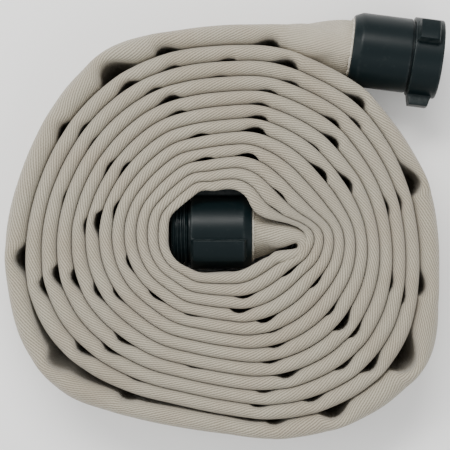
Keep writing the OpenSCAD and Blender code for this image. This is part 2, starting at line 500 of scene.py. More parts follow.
@dataclass(frozen=True)
class Paint:
    """Plain matt surface of the floor."""

    name: str
    colour: tuple[float, float, float]

    def build(self) -> bpy.types.Material:
        """Makes the material, with a very slight unevenness.

        Returns:
            The material.
        """
        s = Shader(self.name)
        cloud = s.noise(s.coordinates("Object"), 3.0, 2.0)
        darker = tuple(0.985 * c for c in self.colour)
        s.link(s.mix(cloud, self.colour, darker), s.surface.inputs["Base Color"])
        s.set(Roughness=0.9, Specular_IOR_Level=0.1)
        return s.material


class Finish(Enum):
    """The finishes of this object."""

    # the second colour of each Weave is the painted shade of its rib valleys
    JACKET = Weave("jacket_twill", (0.43, 0.393, 0.31), (0.195, 0.177, 0.133), (0.95, 0.89, 0.87))
    INNER_JACKET = Weave("inner_jacket_weave", (0.55, 0.515, 0.44), (0.38, 0.35, 0.29), (0.97, 0.95, 0.92),
                         pitch=0.0022)
    LINER = Rubber("liner_rubber", (0.018, 0.018, 0.019), (0.09, 0.09, 0.088))
    GASKET = Rubber("gasket_rubber", (0.012, 0.012, 0.012), (0.06, 0.06, 0.06))
    COUPLING = Anodised("dark_anodised_alloy")
    BRASS = Metal("rolled_brass", (0.62, 0.42, 0.16), (0.38, 0.25, 0.11), 0.28)
    STEEL = Metal("ground_steel", (0.56, 0.57, 0.58), (0.38, 0.38, 0.38), 0.22)
    FLOOR = Paint("pale_floor", (0.97, 0.97, 0.965))


MATERIALS: dict[Finish, bpy.types.Material] = {}


def dress(piece: bpy.types.Object, finish: Finish) -> bpy.types.Object:
    """Gives a piece its finish.

    Args:
        piece: the piece.
        finish: its finish.

    Returns:
        The piece.
    """
    if finish not in MATERIALS:
        MATERIALS[finish] = finish.value.build()
    piece.data.materials.clear()
    piece.data.materials.append(MATERIALS[finish])
    return piece


def settle(piece: bpy.types.Object, node: str, body: str, finish: Finish) -> None:
    """Dresses a piece that takes the place of a CAD node, and lets it ride on a body.

    Args:
        piece: the piece.
        node: the CAD node that it replaces.
        body: the body that it moves with.
        finish: its finish.
    """
    dress(piece, finish)
    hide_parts(node)
    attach(piece, body)


# ---------------------------------------------------------------- the coupling axes


@dataclass(frozen=True)
class Axis:
    """A coupling's own axis: distances along it are counted from the coupling's tail end."""

    origin: np.ndarray
    along: np.ndarray

    @property
    def side(self) -> np.ndarray:
        """Level direction across the axis, to the right of its heading."""
        return np.array([self.along[1], -self.along[0], 0.0])

    def place(self, r: np.ndarray, a: np.ndarray, turn: np.ndarray) -> np.ndarray:
        """Points at radius r and distance a, turned from straight up about the axis, in radians.

        The point is origin + a along + r (cos turn up + sin turn side).

        Args:
            r, a, turn: radii, distances and angles, which broadcast together.

        Returns:
            Points of the same shape, with three coordinates each.
        """
        up = np.array([0.0, 0.0, 1.0])
        r, a, turn = (np.asarray(x)[..., None] for x in np.broadcast_arrays(r, a, turn))
        return self.origin + a * self.along + r * (np.cos(turn) * up + np.sin(turn) * self.side)


def female_axis() -> Axis:
    """The female coupling's axis, from its thread's mount.

    Returns:
        The axis, pointing out of the coupling's mouth.
    """
    mount = next(m for m in frame["record"]["mounts"] if m["name"] == "female_thread")
    along = np.array(mount["axis"], float)
    return Axis(np.array(mount["pos_m"]) / MM - FEMALE_THREAD_AT * along, along)


def male_axis() -> Axis:
    """The male coupling's axis, from the far end of the male body's box.

    Returns:
        The axis, which points to -X.
    """
    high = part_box("male_body")[1]
    low_ring, high_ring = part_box("male_expansion_ring")
    middle = (low_ring + high_ring) / 2
    return Axis(np.array([high.x, middle.y, middle.z]) / MM, np.array([-1.0, 0.0, 0.0]))


# ---------------------------------------------------------------- the rolled hose


@dataclass
class RolledHose:
    """The hose as it lies: twelve turns of flat tube on edge, a fold in the middle, and a round end in each
    coupling. Radii are from the roll's centre, every 15 degrees from +X."""

    female: Axis
    male: Axis
    flat_width: float = 66.0
    round_radius: float = 22.6
    # the way round the hose; edge_share is half pi less 1
    perimeter: float = 142.0
    edge_share: float = 0.571
    turn_gap: float = 0.25
    least_thickness: float = 5.0
    # how far the hose reaches into a coupling
    clamp_length: float = 36.0
    # points in the quarters of the lower and upper edges and on each side, and stations along the hose
    low_points: int = 3
    high_points: int = 6
    side_points: int = 3
    step: float = 4.0
    lead_stations: int = 26
    held_stations: int = 5
    stations_per_knot: int = 9
    # added to every radius of the last turn
    looser: float = 2.4
    # the coil's two ends, in degrees of winding, and where and over what the last turn blends into the others
    first: float = 72.0
    last: float = 330.0 + 11 * TURN
    joins_at: float = 345.0
    joins_over: float = 60.0
    # the middle of the roll, in front of the male coupling's tail end
    centre_ahead: float = 21.0
    # under the female bowl: where, how far to each side, how far in the side stands, and the lean outwards
    bowl_at: float = 52.0
    bowl_reach: float = 24.0
    bowl_push: float = 1.5
    bowl_lean: float = 4.5
    # a buckle's least half length, where in it the deepest place is, and how deep against its listed depth
    buckle_half: float = 7.5
    buckle_peak: float = -0.35
    buckle_gain: float = 1.15
    # how much of a buckle is lost at the floor, and the share of the height above which none is
    floor_loss: float = 0.67
    floor_loss_height: float = 0.55
    # the upper edge's unevenness, and the length of its longest wave
    uneven: float = 0.7
    uneven_wave: float = 160.0
    # upper edge of the first turn's inner side
    core: tuple[float, ...] = (53, 23, 15, 16, 21.5, 25, 26, 26, 30.3, 30.6, 33.3, 38.6,
                               39.4, 41, 39.3, 35.3, 33, 29.8, 28.4, 29, 29.5, 31, 36, 50)
    # how much further out than its upper edge the first turn stands at half height
    lean: tuple[float, ...] = (3, 11, 12, 13, 12, 8, 5, 6.5, 6, 10.5, 10.5, 3,
                               0, 1, 6.5, 5, 1, 0, 0, 1, 3, 4, 4, 2)
    # outer side of the eleventh turn
    body: tuple[float, ...] = (148, 145, 143.5, 142.5, 139, 137.5, 134, 135, 137, 138, 139, 141.5,
                               146, 151, 151.5, 146, 139, 134.5, 137.5, 146.5, 155, 161, 160.5, 153.5)
    # outer side of the last, looser turn
    rim: tuple[float, ...] = (162.5, 163, 160, 153.5, 180, 163, 157, 157.5, 164.5, 163.5, 161, 161.5,
                              166, 170.5, 175.5, 173, 159.5, 152.5, 153, 162.5, 172, 180.5, 182, 168)
    # how much tighter than evenly the middle turns lie
    sag: tuple[float, ...] = (6, -2, -1, 1, 3, 5, 6.5, 7, 7, 6.5, 6, 6,
                              6, 9, 10, 8.5, 5, 3.5, 3, 3, 3.5, 4, 4, 5)
    # where the inner side buckles away from the turn below: (degrees, depth), a row for each turn, outside in
    buckles: tuple[tuple[tuple[float, float], ...], ...] = (
        ((78, 5), (107, -5), (123, -11), (149, 4), (189, 7), (220, 12), (241, 6), (286, 4), (303, 8),
         (327, 13), (346, 5)),
        ((17, 9), (46, 5), (71, 5), (90, 2), (109, 2), (125, 4), (145, 2), (198, 4), (221, 4), (240, 1),
         (282, 2), (299, 3), (319, 5), (341, 2)),
        ((11, 2), (41, 2), (67, 2), (93, 1), (118, 2), (147, 1), (169, 1), (196, 5), (227, 3), (285, 2),
         (313, 3), (344, 2)),
        ((10, 2), (47, 3), (74, 2), (114, 4), (199, 4), (228, 3), (258, 1), (295, 4), (324, 3)),
        ((42, 4), (76, 2), (113, 2), (152, 2), (179, 2), (207, 3), (291, 2), (324, 5)),
        ((24, 4), (45, 1), (75, 3), (149, 2), (177, 5), (212, 2), (296, 2), (325, 2)),
        ((34, 4), (75, 4), (107, 2), (170, 2), (298, 1)),
        ((200, 2), (225, 2), (250, 1), (297, 3), (333, 2)),
        ((75, 3), (108, 2), (283, 3)),
        ((37, 2), (290, 2), (331, 2)),
        ((27, 1),),
    )
    # how far the last turn stands off from the one below: (degrees, distance)
    slack: tuple[tuple[float, float], ...] = (
        (197, 0), (206, 3), (214, 6.5), (219, 9), (226, 7), (233, 3.5), (245, 3.5), (258, 1.5), (270, 1),
        (278, 2.5), (292, 0),
    )
    # outer and inner side of the hose round the tight fold and back to the male coupling, from the centre
    fold: tuple[tuple[float, float, float, float], ...] = (
        (53.5, -24.6, 40.0, -15.9), (59.3, -20.4, 50.0, -14.0), (63.2, -14.6, 55.0, -12.5),
        (64.2, -8.6, 56.0, -10.4), (62.4, -2.6, 54.4, -8.7), (58.0, 1.8, 50.4, -10.0),
        (51.0, 5.8, 45.0, -12.6), (40.0, 10.6, 38.0, -16.2), (30.5, 16.6, 30.5, -19.8),
    )

    def __post_init__(self) -> None:
        """Works out the roll's centre."""
        self.centre = self.male.origin[:2] - np.array([self.centre_ahead, 0.0])

    def around(self, radii: tuple[float, ...], degrees: np.ndarray) -> np.ndarray:
        """A list of 24 values as a smooth closed curve."""
        return spline(np.array(radii), np.mod(degrees, TURN) / SPACING, periodic=True)

    def face(self, t: np.ndarray) -> tuple[np.ndarray, np.ndarray]:
        """Outer side of the hose, t degrees of winding in from +X on the outermost turn.

        n counts turns from the middle: 13 - t / 360. Inside the last turn, the radius at the upper edge is
        core + (body - core) u - sag 4 u (1 - u) with u = n / 11. The last turn follows rim, and blends into
        the rest under the female coupling. The lean fades as (1 - u) to the fourth power. Under the bowl the
        upper edge leans out instead.

        Args:
            t: degrees of winding.

        Returns:
            The radius at half height, and how far the upper edge stands in from it.
        """
        n = 13.0 - t / TURN
        u = n / 11.0
        core = self.around(self.core, t)
        inner = core + (self.around(self.body, t) - core) * u - self.around(self.sag, t) * 4 * u * (1 - u)
        w = ramp((t - self.joins_at) / self.joins_over)
        top = (1 - w) * (self.around(self.rim, t) + self.looser) + w * inner
        lean = self.around(self.lean, t) * np.clip(1 - u, 0, 1) ** 4
        angle = np.mod(t, TURN)
        under_bowl = ramp(1 - np.abs(angle - self.bowl_at) / self.bowl_reach)
        # only the turns right under the bowl, between 11 and 12.2
        under_bowl = under_bowl * ramp((n - 11.0) / 0.6) * ramp(12.2 - n)
        return top + lean - self.bowl_push * under_bowl, lean - self.bowl_lean * under_bowl

    def notch(self, t: np.ndarray, radius: np.ndarray) -> np.ndarray:
        """How far the inner side stands away from the turn below, from the buckles.

        Each buckle is a long taper, the square of a cosine, and a blunt end, 1 less a square, to the power
        0.75. The blunt end comes first in the winding, or last where the depth is given as negative. The last
        turn also stands off by its slack, joined up by straight lines.

        Args:
            t: degrees of winding.
            radius: the inner side's radius at each.

        Returns:
            The distance at each.
        """
        rows = [(angle + TURN * k, depth) for k, row in enumerate(self.buckles) for angle, depth in row]
        at, depth = np.array(rows, float).T
        half = np.degrees((self.buckle_half + np.abs(depth)) / np.interp(at, t, radius))
        x = (t[:, None] - at) / half * np.sign(depth)
        peak = self.buckle_peak
        blunt = np.clip(1 - ((peak - x) / (1 + peak)) ** 2, 0, 1) ** 0.75
        taper = np.cos(np.pi / 2 * np.clip((x - peak) / (1 - peak), 0, 1)) ** 2
        shape = np.where(x < peak, blunt, taper) * (np.abs(x) < 1)
        buckled = (shape * np.abs(depth)).max(1) * self.buckle_gain
        where, gap = np.array(self.slack, float).T
        return np.maximum(buckled, np.interp(t, where, gap))

    def stations(self) -> Way:
        """The hose's whole way, as one row of values for each cross-section.

        Returns:
            outer, inner: points in plan on the two sides; half_height, height: of the section and its middle;
            roundness: 0 flat to 1 round; lean_out, lean_in: inward lean of the upper edge on the two sides;
            notch: how far the inner side is buckled in.
        """
        fine = np.arange(self.first, self.last + 0.25, 0.5)
        length = np.concatenate([[0], np.cumsum(np.radians(0.5) * self.face(fine)[0][1:])])
        t = np.interp(np.linspace(0, length[-1], int(length[-1] / self.step)), length, fine)
        r_out, lean_out = self.face(t)
        r_in, lean_in = self.face(t + TURN)
        r_in = r_in + self.turn_gap
        notch = self.notch(t, r_in)
        notch = np.minimum(notch, np.maximum(r_out - r_in - self.least_thickness, 0))
        heading = np.stack([np.cos(np.radians(t)), np.sin(np.radians(t))], 1)
        outer = self.centre + r_out[:, None] * heading
        inner = self.centre + (r_in + notch)[:, None] * heading
        coil = dict(outer=outer, inner=inner, lean_out=lean_out, lean_in=lean_in, notch=notch)
        lead = self.lead_in(coil)
        tail = self.tail(coil)
        return {key: np.concatenate([lead[key], self.filled(coil, len(t))[key], tail[key]]) for key in lead}

    def filled(self, coil: Way, count: int) -> Way:
        """The coiled stretch with its even values added: it is flat and stands on the floor."""
        half = self.flat_width / 2
        return dict(coil, half_height=np.full(count, half), height=np.full(count, half),
                    roundness=np.zeros(count))

    def opened(self, outer: np.ndarray, inner: np.ndarray, w: np.ndarray,
               coupling: Axis) -> tuple[np.ndarray, np.ndarray]:
        """Heights of the section where it opens from flat to round.

        The way round the hose stays the same: for a half thickness h, the half height is a quarter of that
        way, less (half pi - 1) h.

        Args:
            outer, inner: points in plan on the two sides.
            w: 0 flat to 1 round.
            coupling: the axis that it opens towards.

        Returns:
            The half height, and the height of the section's middle.
        """
        half = np.linalg.norm(outer - inner, axis=1) / 2
        flat = self.flat_width / 2
        tall = np.maximum(flat * (1 - w) + (self.perimeter / 4 - self.edge_share * half) * w, half)
        return tall, flat * (1 - w) + coupling.origin[2] * w

    def lead_in(self, coil: Way) -> Way:
        """From inside the female coupling to the outer end of the coil.

        Each of the two sides is a cubic Hermite curve, and the section opens from flat to round with a smooth
        step.

        Args:
            coil: the coiled stretch.

        Returns:
            Values as in stations().
        """
        s = np.linspace(0, 1, self.lead_stations, endpoint=False)
        start = (self.female.origin - 2.0 * self.female.along)[:2]
        side = -self.female.side[:2] * self.round_radius
        outer = self.hermite(s, start + side, coil["outer"][0], coil["outer"][1])
        inner = self.hermite(s, start - side, coil["inner"][0], coil["inner"][1])
        w = 1 - ramp(s * 1.02)
        tall, height = self.opened(outer, inner, w, self.female)
        reach = np.linspace(self.clamp_length, 0, self.held_stations)[:, None]
        inside = self.female.origin + reach * self.female.along
        held = self.held(inside, -self.female.side[:2])
        way = dict(outer=outer, inner=inner,
                   lean_out=coil["lean_out"][0] * (1 - w), lean_in=coil["lean_in"][0] * (1 - w),
                   notch=0 * w, half_height=tall, height=height, roundness=w)
        return {key: np.concatenate([held[key], way[key]]) for key in way}

    def hermite(self, s: np.ndarray, start: np.ndarray, end: np.ndarray, after: np.ndarray) -> np.ndarray:
        """Cubic Hermite curve that leaves the female coupling straight.

        Args:
            s: places from 0 to 1.
            start, end: its two ends.
            after: the point that it heads for as it arrives.

        Returns:
            The point at each place.
        """
        reach = np.linalg.norm(end - start)
        leave = -self.female.along[:2] * reach
        arrive = (after - end) / np.linalg.norm(after - end) * reach
        h = s[:, None]
        return ((2 * h**3 - 3 * h**2 + 1) * start + (h**3 - 2 * h**2 + h) * leave
                + (3 * h**2 - 2 * h**3) * end + (h**3 - h**2) * arrive)

    def tail(self, coil: Way) -> Way:
        """From the inner end of the coil, round the tight fold and into the male coupling.

        The two sides are Catmull-Rom curves through the fold's points.

        Args:
            coil: the coiled stretch.

        Returns:
            Values as in stations().
        """
        last_out, last_in = coil["outer"][-1] - self.centre, coil["inner"][-1] - self.centre
        before = np.concatenate([coil["outer"][-2] - self.centre, coil["inner"][-2] - self.centre])
        end = (self.male.origin - self.male.along)[:2] - self.centre
        r = self.round_radius
        knots = np.array([before, (*last_out, *last_in), *self.fold, (end[0], r, end[0], -r)])
        fine = self.stations_per_knot
        at = 1 + np.arange(1, (len(knots) - 2) * fine + 1) / fine
        ways = spline(knots, at, periodic=False)
        outer, inner = self.centre + ways[:, :2], self.centre + ways[:, 2:]
        s = ramp((at - 6.0) / (len(knots) - 7.0))
        tall, height = self.opened(outer, inner, s, self.male)
        fade = np.clip(1 - (at - 1) / 3, 0, 1)
        reach = np.linspace(0, self.clamp_length, self.held_stations)[:, None]
        inside = self.male.origin + reach * self.male.along
        held = self.held(inside, np.array([0.0, 1.0]))
        way = dict(outer=outer, inner=inner, lean_out=coil["lean_out"][-1] * fade,
                   lean_in=coil["lean_in"][-1] * fade, notch=0 * s, half_height=tall, height=height,
                   roundness=s**2)
        return {key: np.concatenate([way[key], held[key]]) for key in way}

    def held(self, line: np.ndarray, across: np.ndarray) -> Way:
        """The round stretch inside a coupling.

        Args:
            line: points along its axis.
            across: direction to its outer side, in plan.

        Returns:
            Values as in stations().
        """
        count = len(line)
        r = self.round_radius
        return dict(outer=line[:, :2] + across * r, inner=line[:, :2] - across * r, lean_out=np.zeros(count),
                    lean_in=np.zeros(count), notch=np.zeros(count), half_height=np.full(count, r),
                    height=line[:, 2], roundness=np.ones(count))

    def section(self, low: int, high: int, side: int) -> tuple[np.ndarray, ...]:
        """Unit outline of a flat tube on edge, from the middle of its lower edge, up its outer side.

        Args:
            low, high: points in a quarter of its rounded lower and upper edges.
            side: points on each straight side.

        Returns:
            across (cosine), lift (sine), side position from -1 to 1, and the angle of the same point on a
            round hose.
        """
        down = np.linspace(0, np.pi / 2, low, endpoint=False)
        up = np.linspace(0, np.pi / 2, high, endpoint=False)
        flat = np.linspace(-1, 1, side, endpoint=False)
        zero = np.zeros(side)
        turn = np.concatenate([down - np.pi / 2, zero, up, up + np.pi / 2, zero + np.pi, down + np.pi])
        place = np.concatenate([-np.ones(low), flat, np.ones(2 * high), -flat, -np.ones(low)])
        across, lift = np.cos(turn), np.sin(turn)
        half, thin = self.flat_width / 2, 5.0
        x, z = across * thin, place * (half - thin) + lift * thin
        gaps = np.hypot(np.roll(x, -1) - x, np.roll(z, -1) - z)
        share = np.concatenate([[0], np.cumsum(gaps)[:-1]]) / gaps.sum()
        return across, lift, place, -np.pi / 2 + 2 * np.pi * share

    def surface(self, way: Way, inset: float, counts: tuple[int, int, int]) -> np.ndarray:
        """The hose's surface, `inset` inside its outer face.

        A flat section is a stadium; a round one is a circle; between them the points are mixed by the
        station's roundness. The upper part then leans by the square of its height above the middle, and the
        buckles fade to a third of their depth at the floor.

        Args:
            way: the stations.
            inset: depth below the outer face.
            counts: points in a quarter of the lower and upper edges, and on a side.

        Returns:
            Points of shape (stations, around, 3).
        """
        across, lift, place, angle = self.section(*counts)
        outer, inner = way["outer"], way["inner"]
        half = np.linalg.norm(outer - inner, axis=1)
        unit = (outer - inner) / half[:, None]
        half = (half / 2 - inset)[:, None]
        tall = (way["half_height"] - inset)[:, None]
        edge = np.minimum(half * 1.15, tall)
        flat_x, flat_z = across * half, place * (tall - edge) + lift * edge
        round_x, round_z = np.cos(angle) * half, np.sin(angle) * tall
        w = way["roundness"][:, None]
        x, z = flat_x * (1 - w) + round_x * w, flat_z * (1 - w) + round_z * w
        share = (x / half + 1) / 2
        lean = way["lean_in"][:, None] * (1 - share) + way["lean_out"][:, None] * share
        rise = np.clip(z / (self.flat_width / 2), 0, 1)
        distance = self.distance(way)
        uneven = waves(distance, 11, 5, self.uneven_wave)[:, None] * (1 - w) * self.uneven
        fading = self.floor_loss * (1 - ramp((z / self.flat_width + 0.5) / self.floor_loss_height))
        x = x - lean * rise**2 - way["notch"][:, None] * (1 - share) * fading * (1 - w)
        z = z + uneven * rise
        middle = (outer + inner) / 2
        points = np.empty((*x.shape, 3))
        points[..., :2] = middle[:, None] + unit[:, None] * x[..., None]
        points[..., 2] = way["height"][:, None] + z
        return points

    def distance(self, way: Way) -> np.ndarray:
        """Length of the hose's middle line.

        Args:
            way: the stations.

        Returns:
            The length up to each station.
        """
        middle = (way["outer"] + way["inner"]) / 2
        steps = np.linalg.norm(np.diff(middle, axis=0), axis=1)
        return np.concatenate([[0], np.cumsum(steps)])

    def layer(self, name: str, way: Way, inset: float, wall: float,
              counts: tuple[int, int, int]) -> bpy.types.Object:
        """One layer of the hose as a closed wall: its outer surface, its inner one, and a ring at each end.

        Args:
            name: the piece's name.
            way: the stations.
            inset: depth of its outer face.
            wall: its thickness.
            counts: points in a quarter of the lower and upper edges, and on a side.

        Returns:
            The piece.
        """
        skin = self.surface(way, inset, counts)
        lining = self.surface(way, inset + wall, counts)
        grid = np.concatenate([skin, lining[::-1]])
        along = self.distance(way) * MM
        u = np.concatenate([along, along[::-1], along[:1]])
        steps = np.linalg.norm(np.roll(grid, -1, axis=1) - grid, axis=2)
        v = np.pad(np.cumsum(steps, axis=1), ((0, 0), (1, 0))) * MM
        top = counts[0] + counts[2] + counts[1]
        v = np.concatenate([v, v[:1]]) - np.concatenate([v, v[:1]])[:, top:top + 1]
        uv = np.stack(np.broadcast_arrays(u[:, None], v), -1)
        return looped_mesh(name, grid, uv, sharp=70.0)

    def build(self) -> list[bpy.types.Object]:
        """Makes the two jackets, the liner and the frayed threads.

        Returns:
            The pieces.
        """
        way = self.stations()
        LOG.info("hose length %.2f m", self.distance(way)[-1] * MM)
        fine, plain = (self.low_points, self.high_points, self.side_points), (2, 3, 2)
        # node, depth of its outer face, wall, finish, slot, points of its section
        layers = (("outer_jacket", 0.0, 0.8, Finish.JACKET, "jacket", fine),
                  ("inner_jacket", 0.95, 0.6, Finish.INNER_JACKET, "inner_jacket", plain),
                  ("rubber_liner", 1.7, 0.5, Finish.LINER, "liner", plain))
        made = []
        for node, inset, wall, finish, slot, counts in layers:
            piece = self.layer(f"hose_{node}", way, inset, wall, counts)
            settle(piece, node, "hose", finish)
            made.append(piece)
        return [*made, self.fringe("female", self.female), self.fringe("male", self.male)]

    def fringe(self, sex: str, axis: Axis) -> bpy.types.Object:
        """Frayed ends of the jacket's threads round the hose where it enters a coupling.

        A ring of flattened section, whose reach along the hose and whose height vary with seeded waves of the
        angle round it.

        Args:
            sex: which coupling, for the piece's name and seed.
            axis: the coupling's axis.

        Returns:
            The piece.
        """
        rows, columns = 240, 10
        longest_wave = 11.0
        turn = np.linspace(0, 2 * np.pi, rows, endpoint=False)[:, None]
        part = np.linspace(0, 2 * np.pi, columns, endpoint=False)[None]
        fray = waves(turn * self.round_radius, 23 + len(sex), 6, longest_wave) * np.sin(turn / 2) ** 0.2
        radius = self.round_radius + 0.25 + (0.55 + 0.3 * fray) * np.cos(part)
        along = -0.2 + (1.3 + 0.9 * fray) * np.sin(part)
        grid = axis.place(radius, along, turn)
        uv = np.zeros((rows + 1, columns + 1, 2))
        uv[..., 0] = np.linspace(0, self.perimeter * MM, rows + 1)[:, None]
        uv[..., 1] = np.linspace(0, 0.006, columns + 1)[None]
        piece = looped_mesh(f"{sex}_frayed_threads", grid, uv, sharp=60.0)
        dress(piece, Finish.INNER_JACKET)
        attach(piece, "hose")
        return piece


# ---------------------------------------------------------------- the couplings


@dataclass
class TurnedPart:
    """A part turned about a coupling's axis: a closed outline carried round it, with lugs and a thread.

    The outline's corners are (radius, distance along the axis, radius of the corner's rounding)."""

    name: str
    axis: Axis
    outline: list[tuple[float, float, float]]
    lug_angles: tuple[float, ...] = ()
    lug_range: tuple[float, float] = (0.0, 0.0)
    lug_radius: float = 0.0
    lug_base: float = 0.0
    lug_half_width: float = 9.4
    lug_slope: float = 1.1
    lug_start_slope: float = 1.8
    lug_end_slope: float = 2.6
    thread_range: tuple[float, float] = (0.0, 0.0)
    thread_radius: float = 0.0
    thread_depth: float = 0.0
    thread_pitch: float = 2.822
    # how near to thread_radius the outline is threaded, and the length over which the thread dies out
    thread_reach: float = 0.6
    thread_fade: float = 1.4
    longest: float = 1.2
    sides: int = 144

    def turns(self) -> np.ndarray:
        """Angles round the axis, with extra ones where the lugs' flanks rise.

        Returns:
            The angles in radians, rising.
        """
        even = np.linspace(0, 2 * np.pi, self.sides, endpoint=False)
        if not self.lug_angles:
            return even
        flank = math.asin(self.lug_half_width / self.lug_radius)
        width = self.lug_slope / self.lug_radius
        near = np.linspace(-1.5 * width, 1.5 * width, 13)
        local = np.concatenate([near - flank, near + flank])
        extra = np.concatenate([np.radians(a) + local for a in self.lug_angles])
        every = np.unique(np.round(np.mod(np.concatenate([even, extra]), 2 * np.pi), 5))
        return every[np.diff(every, append=every[0] + 2 * np.pi) > 0.002]

    def lugs(self, a: np.ndarray, turn: np.ndarray) -> tuple[np.ndarray, np.ndarray]:
        """Height of the lugs above their base, and how near each point is to a lug's edge.

        A lug is a smooth step up across its flank times a smooth step at each end.

        Args:
            a: distances along the axis.
            turn: angles round it, in radians.

        Returns:
            The height, and the nearness from 0 to 1.
        """
        height = np.zeros(np.broadcast(a, turn).shape)
        edge = np.zeros_like(height)
        a0, a1 = self.lug_range
        ends = ramp((a - a0) / self.lug_start_slope) * ramp((a1 - a) / self.lug_end_slope)
        for angle in self.lug_angles:
            off = np.angle(np.exp(1j * (turn - np.radians(angle))))
            across = np.abs(off) * self.lug_radius
            side = ramp((self.lug_half_width + self.lug_slope / 2 - across) / self.lug_slope)
            height = np.maximum(height, side * ends)
            edge = np.maximum(edge, 4 * side * (1 - side) * ends + side * 4 * ends * (1 - ends))
        return height * (self.lug_radius - self.lug_base), edge

    def build(self) -> bpy.types.Object:
        """Makes the mesh.

        The radius is the outline's, plus the lugs on its outer side, plus or minus the thread: a trapezium of
        the phase (a / pitch - turn / 360 degrees), which is a right-hand helix.

        Returns:
            The piece.
        """
        outline = rounded(self.outline)
        if self.thread_depth:
            outline = self.fine_thread(outline)
        outline = refined(outline, self.longest)
        r, a = outline[:, :1], outline[:, 1:]
        turn = self.turns()[None]
        radius = np.repeat(r, turn.shape[1], axis=1)
        legs = np.roll(outline, -1, axis=0) - outline
        heading = np.unwrap(np.arctan2(legs[:, 1], legs[:, 0]))
        bend = np.abs(np.roll(heading, 1) - heading)
        wear = np.repeat(np.clip(bend * 3, 0, 1)[:, None], turn.shape[1], axis=1)
        if self.lug_angles:
            height, edge = self.lugs(a, turn)
            on_outside = (r > self.lug_base - 3.0).astype(float)
            radius += height * on_outside
            wear = np.maximum(wear, edge * on_outside)
        if self.thread_depth:
            a0, a1 = self.thread_range
            phase = a / self.thread_pitch - turn / (2 * np.pi)
            saw = np.abs(np.mod(phase, 1.0) - 0.5) * 2
            starts, stops = ((a - a0) / self.thread_fade + 0.5, (a1 - a) / self.thread_fade + 0.5)
            cut = np.clip((saw - 0.2) / 0.6, 0, 1) * ramp(starts) * ramp(stops)
            near = np.abs(r - self.thread_radius) < self.thread_reach
            radius += np.where(near, cut * self.thread_depth, 0.0)
            wear = np.maximum(wear, np.where(near, (1 - cut) * 0.6, 0.0))
        points = self.axis.place(radius, a, turn)
        lengths = np.concatenate([[0], np.cumsum(np.hypot(*np.diff(outline, axis=0, append=outline[:1]).T))])
        u = np.append(turn[0], 2 * np.pi) * max(r.max(), 1.0) * MM
        uv = np.stack(np.broadcast_arrays(u[None], lengths[:, None] * MM), -1)
        return looped_mesh(self.name, points, uv, {"wear": wear}, sharp=38.0)

    def fine_thread(self, outline: np.ndarray) -> np.ndarray:
        """Cuts the outline's threaded side into 14 pieces for each pitch.

        Args:
            outline: points of shape (n, 2).

        Returns:
            The outline with the added points.
        """
        longest = self.thread_pitch / 14
        out = []
        for p, q in zip(outline, np.roll(outline, -1, axis=0)):
            threaded = max(abs(p[0] - self.thread_radius), abs(q[0] - self.thread_radius)) < self.thread_reach
            parts = int(np.ceil(np.linalg.norm(q - p) / longest)) if threaded else 1
            out.append(p + (q - p) * np.linspace(0, 1, max(parts, 1), endpoint=False)[:, None])
        return np.vstack(out)


@dataclass
class Coupling:
    """What both couplings share: the bowl's bore and tail, the brass expansion ring and the tail gasket."""

    axis: Axis
    bore: float = 22.65
    bore_length: float = 40.0
    water: float = 19.05
    tail: float = 26.0
    tail_length: float = 6.5
    bowl: float = 28.9
    ring_outside: float = 19.9
    ring_span: tuple[float, float] = (1.5, 39.5)
    gasket_radii: tuple[float, float] = (20.3, 22.55)
    gasket_span: tuple[float, float] = (36.15, 39.9)

    def plain_ring(self, name: str, radii: tuple[float, float], span: tuple[float, float], corner: float,
                   longest: float) -> bpy.types.Object:
        """A plain ring on the axis.

        Args:
            name: the piece's name.
            radii: its inner and outer radius.
            span: its two ends along the axis.
            corner: rounding of its edges.
            longest: greatest length of a piece of its outline.

        Returns:
            The piece.
        """
        (low, high), (start, end) = radii, span
        outline = [(low, start, corner), (high, start, corner), (high, end, corner), (low, end, corner)]
        return TurnedPart(name, self.axis, outline, longest=longest, sides=96).build()

    def insert_parts(self, sex: str) -> list[bpy.types.Object]:
        """The expansion ring and the tail gasket, which lie inside the bowl.

        Args:
            sex: which coupling, for the names.

        Returns:
            The pieces.
        """
        ring = self.plain_ring(f"{sex}_expansion_ring_brass", (self.water, self.ring_outside), self.ring_span,
                               0.3, 4.0)
        gasket = self.plain_ring(f"{sex}_tail_gasket_rubber", self.gasket_radii, self.gasket_span, 0.4, 2.0)
        settle(ring, f"{sex}_expansion_ring", "hose", Finish.BRASS)
        settle(gasket, f"{sex}_tail_gasket", "hose", Finish.GASKET)
        return [ring, gasket]


